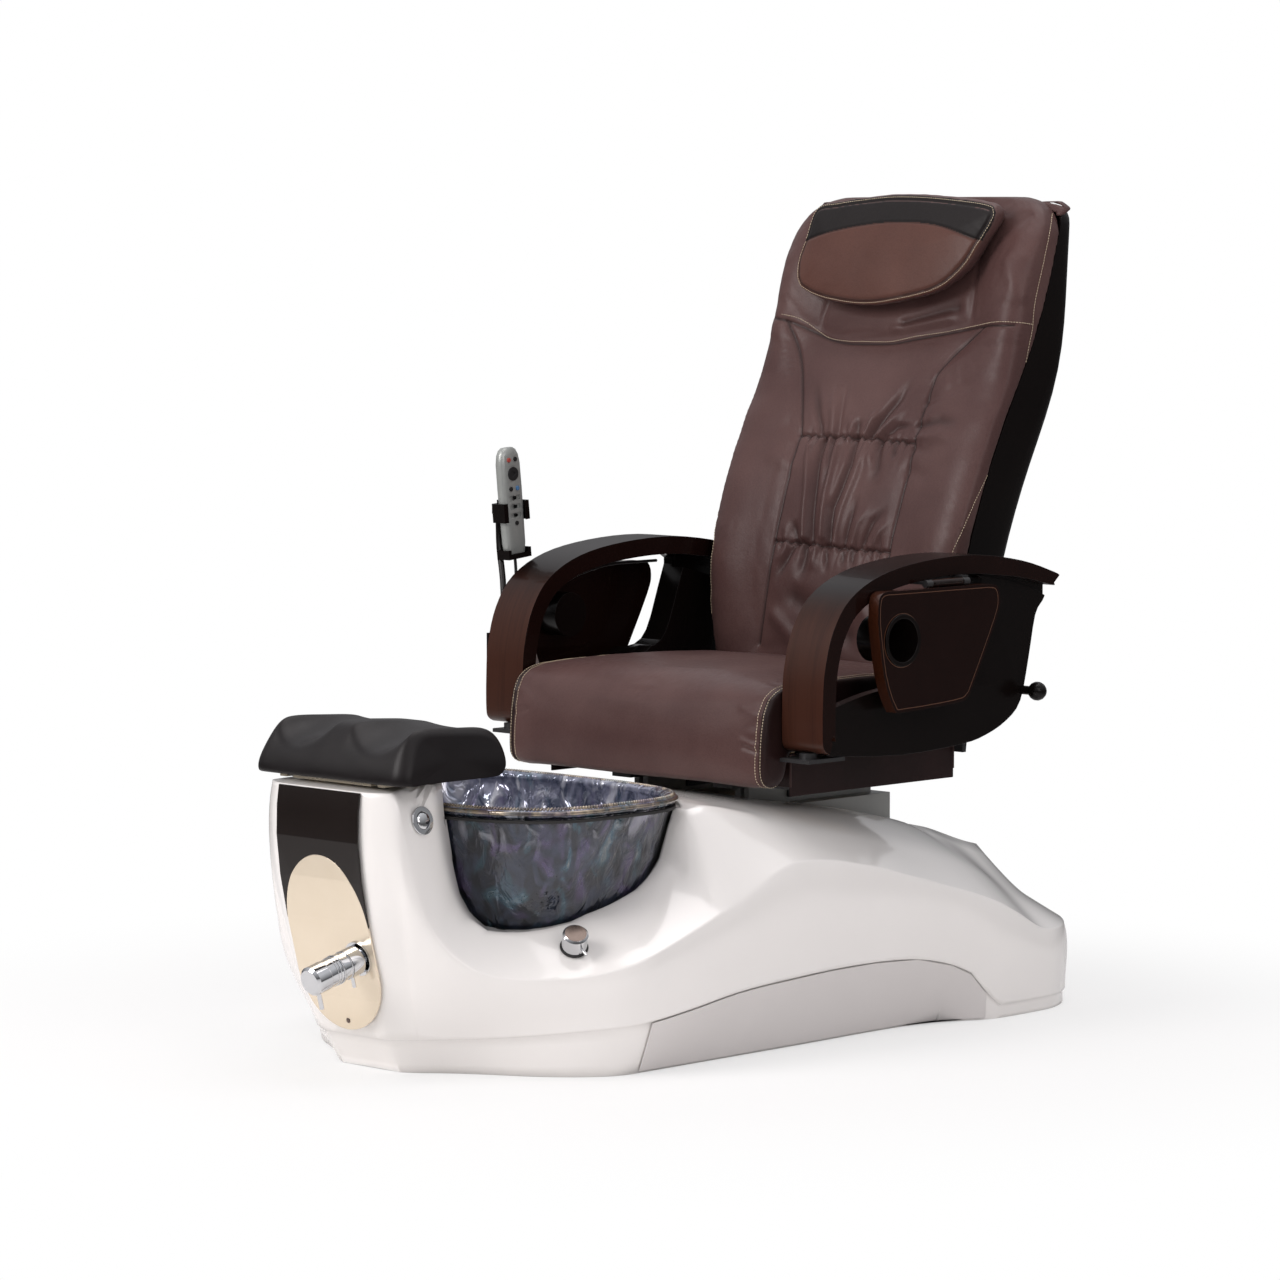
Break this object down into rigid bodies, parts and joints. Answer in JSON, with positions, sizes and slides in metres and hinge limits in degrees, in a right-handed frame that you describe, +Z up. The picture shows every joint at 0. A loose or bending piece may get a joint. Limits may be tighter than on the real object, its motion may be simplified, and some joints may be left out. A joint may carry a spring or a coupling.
{
  "type": "pedicure spa chair",
  "caption": "Plumbed foot-bath chair: moulded base with glass bowl, sliding footrest, reclining massage seat, lift-up wooden arms with swing-out trays and wired remote.",
  "frame": {"origin": "on the floor under the middle of the base", "axes": "+Z up, -Y the way the sitter faces, +X towards the sitter's left"},
  "size_m": [0.8019, 1.4933, 1.292],
  "materials": {
    "shell": "gloss white gelcoat",
    "pan": "matt",
    "plate_dark": "gloss black",
    "plate_champagne": "mirror champagne",
    "bowl_glass": "wavy iridescent",
    "rubber": "matt",
    "chrome": "polished",
    "motor": "matt",
    "grille": "satin grey",
    "foam": "moulded foam skin",
    "plinth": "grey powder coat",
    "black_metal": "black powder coat",
    "zinc": "zinc plated",
    "board": "raw plywood",
    "leather": "soft brown",
    "pillow_leather": "soft red-brown",
    "wood": "gloss espresso lacquer",
    "black_shell": "satin black",
    "remote_grey": "satin silver",
    "key_red": "matt",
    "key_black": "matt",
    "key_blue": "matt",
    "key_white": "matt"
  },
  "bodies": {
    "base": {"base_shell": "shell", "floor_pan": "pan", "access_panel_left": "shell", "access_panel_right": "shell", "plate_upper": "plate_dark", "plate_lower": "plate_champagne", "bowl": "bowl_glass", "bowl_gasket": "rubber", "drain_fitting": "chrome", "jet_motor": "motor", "jet_cover": "grille", "valve_body": "chrome", "button_bezel": "chrome", "drain_knob_flange": "rubber", "footrest_rails": "zinc", "seat_plinth": "plinth"},
    "stopper": {"drain_stopper": "chrome"},
    "impeller": {"jet_impeller": "grille"},
    "lever": {"valve_lever": "chrome"},
    "diverter": {"valve_ring": "chrome"},
    "button": {"air_button": "chrome"},
    "knob": {"drain_knob": "chrome"},
    "footrest": {"footrest_sled": "plate_champagne", "footrest_pad": "foam"},
    "seat": {"seat_frame": "black_metal", "seat_board": "board", "seat_cushion": "leather", "seat_skirt": "leather", "recline_motor": "motor"},
    "back": {"back_frame": "black_metal", "back_shell": "black_shell", "back_cushion": "leather"},
    "pillow_body": {"pillow": "pillow_leather"},
    "carriage": {"massage_carriage": "motor"},
    "roller_top": {"rollers_upper": "grille"},
    "roller_bottom": {"rollers_lower": "grille"},
    "left_arm": {"arm_left": "wood", "side_shell_left": "black_shell", "tray_bracket_left": "zinc"},
    "left_tray": {"tray_left": "wood", "cup_left": "black_shell"},
    "left_lock": {"lock_knob_left": "motor"},
    "right_arm": {"arm_right": "wood", "side_shell_right": "black_shell", "tray_bracket_right": "zinc", "remote_holder": "black_metal", "remote": "remote_grey", "remote_cord": "rubber"},
    "right_tray": {"tray_right": "wood", "cup_right": "black_shell"},
    "right_lock": {"lock_knob_right": "motor"},
    "key_power_body": {"key_power": "key_red"},
    "key_mode_body": {"key_mode": "key_black"},
    "key_pad_body": {"key_pad": "key_white"},
    "key_back_body": {"key_back": "key_black"},
    "key_seat_body": {"key_seat": "key_blue"},
    "key_air_body": {"key_air": "key_white"},
    "key_roll_body": {"key_roll": "key_white"},
    "key_heat_body": {"key_heat": "key_white"},
    "key_stop_body": {"key_stop": "key_black"}
  },
  "joints": [
    {"name": "footrest_slide", "type": "slide", "parent": "base", "child": "footrest", "axis": [0, 1, 0], "range_m": [0, 0.04]},
    {"name": "valve_lever_turn", "type": "hinge", "parent": "base", "child": "lever", "pos_m": [0.054, -0.63991, 0.176], "axis": [0, -0.9677, -0.2521], "range_deg": [-45, 45]},
    {"name": "diverter_turn", "type": "hinge", "parent": "base", "child": "diverter", "pos_m": [0.054, -0.63991, 0.176], "axis": [0, -0.9677, -0.2521], "range_deg": [-60, 60]},
    {"name": "air_button_press", "type": "slide", "parent": "base", "child": "button", "axis": [-0.976, -0.0529, -0.2113], "range_m": [0, 0.004], "stiffness_N_per_m": 300, "springref_m": -0.002},
    {"name": "drain_knob_turn", "type": "hinge", "parent": "base", "child": "knob", "pos_m": [0.267, -0.4094, 0.1888], "axis": [0.5156, -0.3971, 0.7593], "range_deg": [0, 90]},
    {"name": "stopper_lift", "type": "slide", "parent": "base", "child": "stopper", "axis": [0, 0, 1], "range_m": [0, 0.01]},
    {"name": "impeller_spin", "type": "hinge", "parent": "base", "child": "impeller", "pos_m": [0, -0.276, 0.14], "axis": [0, 0, 1], "continuous": true},
    {"name": "seat_slide", "type": "slide", "parent": "base", "child": "seat", "axis": [0, -1, 0], "range_m": [-0.04, 0.08]},
    {"name": "back_recline", "type": "hinge", "parent": "seat", "child": "back", "pos_m": [0, 0.452, 0.47], "axis": [-1, 0, 0], "range_deg": [0, 28]},
    {"name": "pillow_adjust", "type": "slide", "parent": "back", "child": "pillow_body", "axis": [0, 0.38, 0.925], "range_m": [-0.04, 0]},
    {"name": "massage_travel", "type": "slide", "parent": "back", "child": "carriage", "axis": [0, 0.444, 0.896], "range_m": [-0.06, 0.08]},
    {"name": "upper_roller_spin", "type": "hinge", "parent": "carriage", "child": "roller_top", "pos_m": [0, 0.62212, 0.97766], "axis": [1, 0, 0], "continuous": true},
    {"name": "lower_roller_spin", "type": "hinge", "parent": "carriage", "child": "roller_bottom", "pos_m": [0, 0.57595, 0.88447], "axis": [1, 0, 0], "continuous": true},
    {"name": "left_arm_lift", "type": "hinge", "parent": "seat", "child": "left_arm", "pos_m": [0.324, 0.508, 0.511], "axis": [-1, 0, 0], "range_deg": [0, 60]},
    {"name": "left_tray_swing", "type": "hinge", "parent": "left_arm", "child": "left_tray", "pos_m": [0.379, 0.286, 0.694], "axis": [0, -1, 0], "range_deg": [0, 90]},
    {"name": "left_lock_turn", "type": "hinge", "parent": "left_arm", "child": "left_lock", "pos_m": [0.376, 0.508, 0.511], "axis": [1, 0, 0], "range_deg": [0, 270]},
    {"name": "right_arm_lift", "type": "hinge", "parent": "seat", "child": "right_arm", "pos_m": [-0.324, 0.508, 0.511], "axis": [-1, 0, 0], "range_deg": [0, 60]},
    {"name": "right_tray_swing", "type": "hinge", "parent": "right_arm", "child": "right_tray", "pos_m": [-0.379, 0.286, 0.694], "axis": [0, 1, 0], "range_deg": [0, 90]},
    {"name": "right_lock_turn", "type": "hinge", "parent": "right_arm", "child": "right_lock", "pos_m": [-0.376, 0.508, 0.511], "axis": [-1, 0, 0], "range_deg": [0, 270]},
    {"name": "key_power_press", "type": "slide", "parent": "right_arm", "child": "key_power_body", "axis": [-1, 0, 0], "range_m": [0, 0.0008], "stiffness_N_per_m": 200, "springref_m": -0.001},
    {"name": "key_mode_press", "type": "slide", "parent": "right_arm", "child": "key_mode_body", "axis": [-1, 0, 0], "range_m": [0, 0.0008], "stiffness_N_per_m": 200, "springref_m": -0.001},
    {"name": "key_pad_press", "type": "slide", "parent": "right_arm", "child": "key_pad_body", "axis": [-1, 0, 0], "range_m": [0, 0.0008], "stiffness_N_per_m": 200, "springref_m": -0.001},
    {"name": "key_back_press", "type": "slide", "parent": "right_arm", "child": "key_back_body", "axis": [-1, 0, 0], "range_m": [0, 0.0008], "stiffness_N_per_m": 200, "springref_m": -0.001},
    {"name": "key_seat_press", "type": "slide", "parent": "right_arm", "child": "key_seat_body", "axis": [-1, 0, 0], "range_m": [0, 0.0008], "stiffness_N_per_m": 200, "springref_m": -0.001},
    {"name": "key_stop_press", "type": "slide", "parent": "right_arm", "child": "key_stop_body", "axis": [-1, 0, 0], "range_m": [0, 0.0008], "stiffness_N_per_m": 200, "springref_m": -0.001},
    {"name": "key_air_rock", "type": "hinge", "parent": "right_arm", "child": "key_air_body", "pos_m": [-0.3725, 0.09107, 0.80248], "axis": [0, -0.1045, 0.9945], "range_deg": [-3, 3], "stiffness_Nm_per_rad": 0.02},
    {"name": "key_roll_rock", "type": "hinge", "parent": "right_arm", "child": "key_roll_body", "pos_m": [-0.3725, 0.09253, 0.78856], "axis": [0, -0.1045, 0.9945], "range_deg": [-3, 3], "stiffness_Nm_per_rad": 0.02},
    {"name": "key_heat_rock", "type": "hinge", "parent": "right_arm", "child": "key_heat_body", "pos_m": [-0.3725, 0.094, 0.77463], "axis": [0, -0.1045, 0.9945], "range_deg": [-3, 3], "stiffness_Nm_per_rad": 0.02}
  ],
  "couplings": [
    {"joint": "stopper_lift", "follows": "drain_knob_turn", "m_per_rad": 0.0063}
  ]
}
